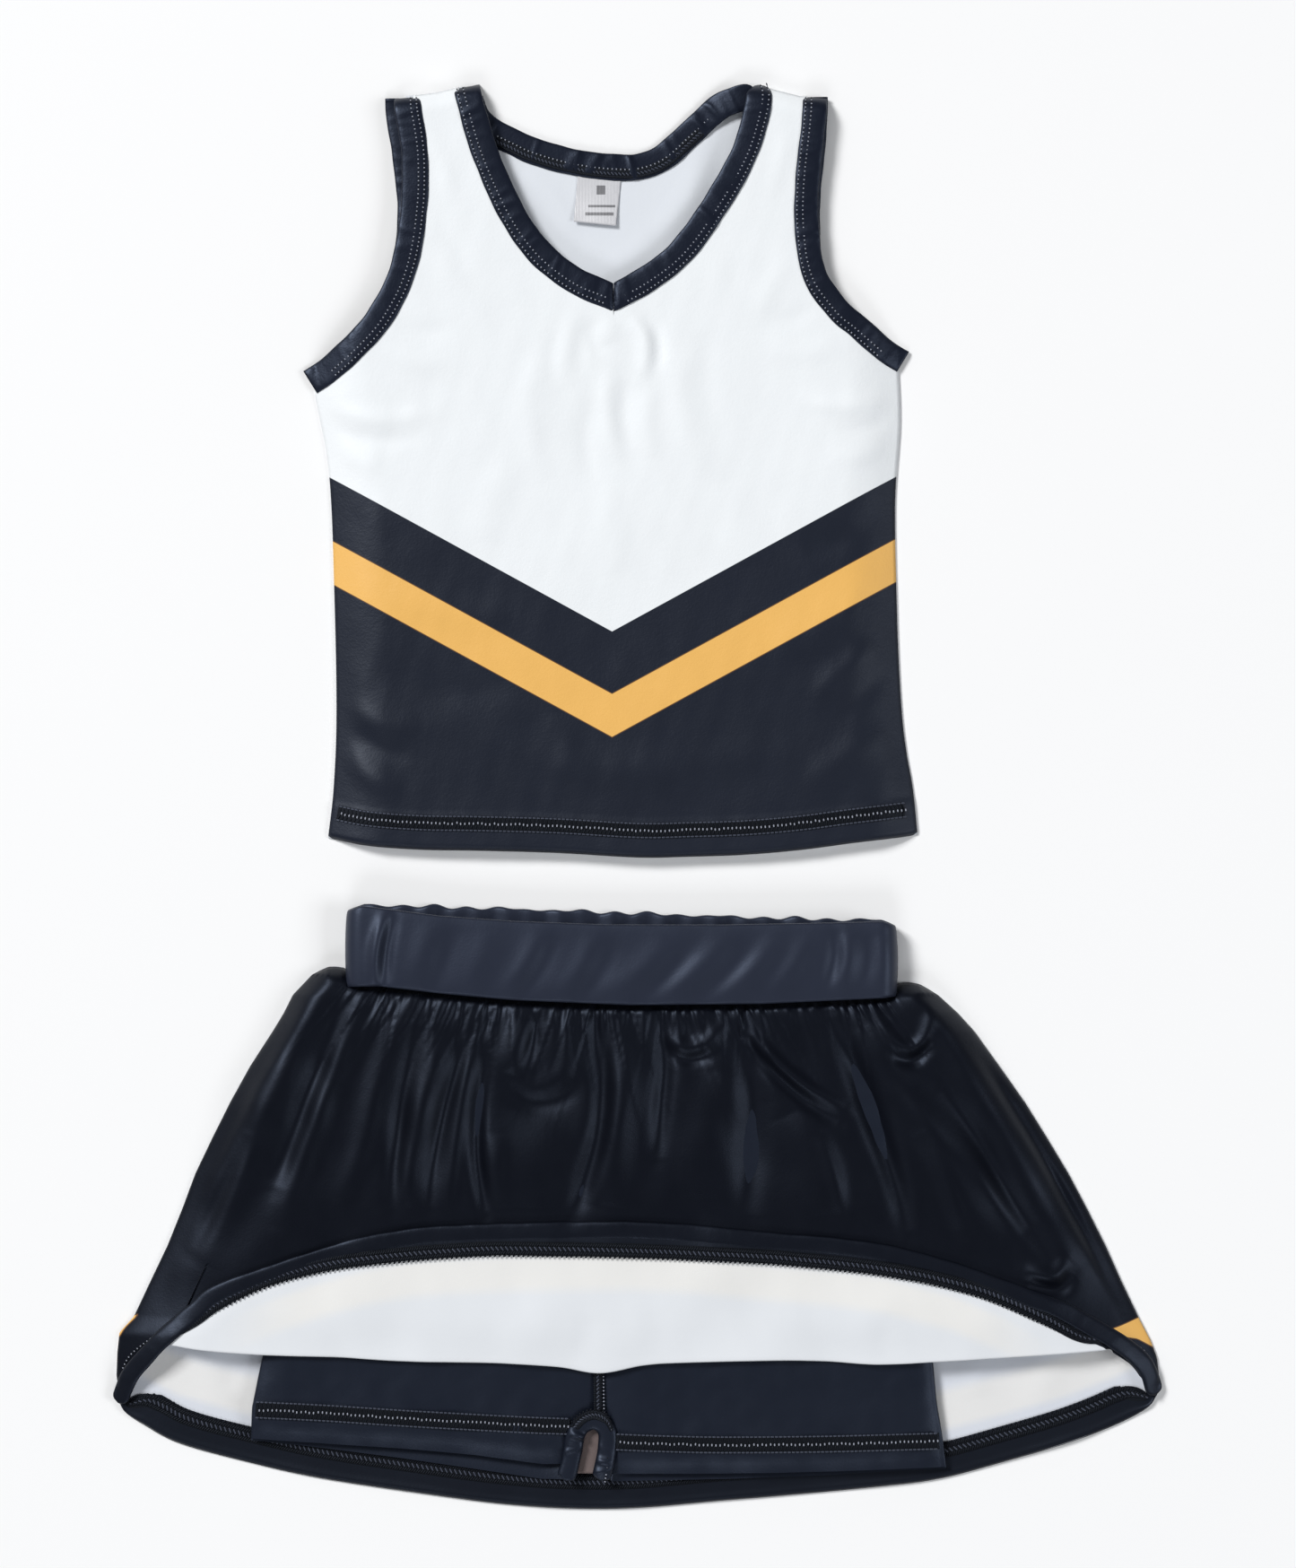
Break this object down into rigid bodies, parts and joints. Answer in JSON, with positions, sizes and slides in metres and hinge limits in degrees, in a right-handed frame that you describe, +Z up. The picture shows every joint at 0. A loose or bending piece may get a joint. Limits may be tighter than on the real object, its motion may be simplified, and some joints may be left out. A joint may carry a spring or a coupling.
{
  "type": "cheer uniform",
  "caption": "Child's two-piece cheer uniform laid flat: sleeveless V-neck top with a chevron front, and a gathered skirt with built-in shorts and a turned-up front hem.",
  "frame": {"origin": "on the surface that the uniform lies on, under the middle of the whole layout", "axes": "+X to the right as seen from above, +Y towards the shoulders, +Z up from the surface; the fronts of both garments face +Z"},
  "size_m": [0.501, 0.6896, 0.0165],
  "materials": {
    "white_knit": "white stretch knit with a faint grain, printed on the outside",
    "navy_knit": "navy printed stretch knit with a soft sheen, white on its inside",
    "navy_binding": "folded navy knit binding with a soft sheen",
    "navy_thread": "matt navy polyester thread",
    "white_elastic": "ribbed woven elastic",
    "label_satin": "woven satin ribbon"
  },
  "bodies": {
    "top": {"top_front_panel": "white_knit", "top_back_panel": "white_knit", "top_front_hem_coverstitch": "navy_thread", "top_back_hem_coverstitch": "navy_thread", "neck_binding": "navy_binding", "armhole_binding_left": "navy_binding", "shoulder_seam_left": "white_knit", "top_side_seam_left": "navy_thread", "armhole_binding_right": "navy_binding", "shoulder_seam_right": "white_knit", "top_side_seam_right": "navy_thread"},
    "label": {"size_label": "label_satin"},
    "skirt": {"waistband_casing": "navy_knit", "waistband_elastic": "white_elastic", "waist_gathering_seam": "navy_thread", "skirt_back_panel": "navy_knit", "skirt_back_hem_coverstitch": "navy_thread", "skirt_front_panel": "navy_knit", "skirt_side_seam_left": "navy_thread", "skirt_side_seam_right": "navy_thread", "shorts_left": "navy_knit", "shorts_left_hem_coverstitch": "navy_thread", "shorts_right": "navy_knit", "shorts_right_hem_coverstitch": "navy_thread", "shorts_centre_seam": "navy_thread", "shorts_gusset": "navy_knit"},
    "front_hem": {"skirt_front_turnup": "white_knit", "skirt_front_hem_coverstitch": "navy_thread"}
  },
  "joints": [
    {"name": "skirt_pull_away", "type": "slide", "parent": "top", "child": "skirt", "axis": [0, -1, 0], "range_m": [0, 0.25]},
    {"name": "front_hem_fold", "type": "hinge", "parent": "skirt", "child": "front_hem", "pos_m": [0, -0.2697, 0.01435], "axis": [1, 0, 0], "range_deg": [0, 178]},
    {"name": "size_label_lift", "type": "hinge", "parent": "top", "child": "label", "pos_m": [-0.019, 0.2929, 0.0011], "axis": [-1, 0, 0], "range_deg": [0, 85]}
  ]
}
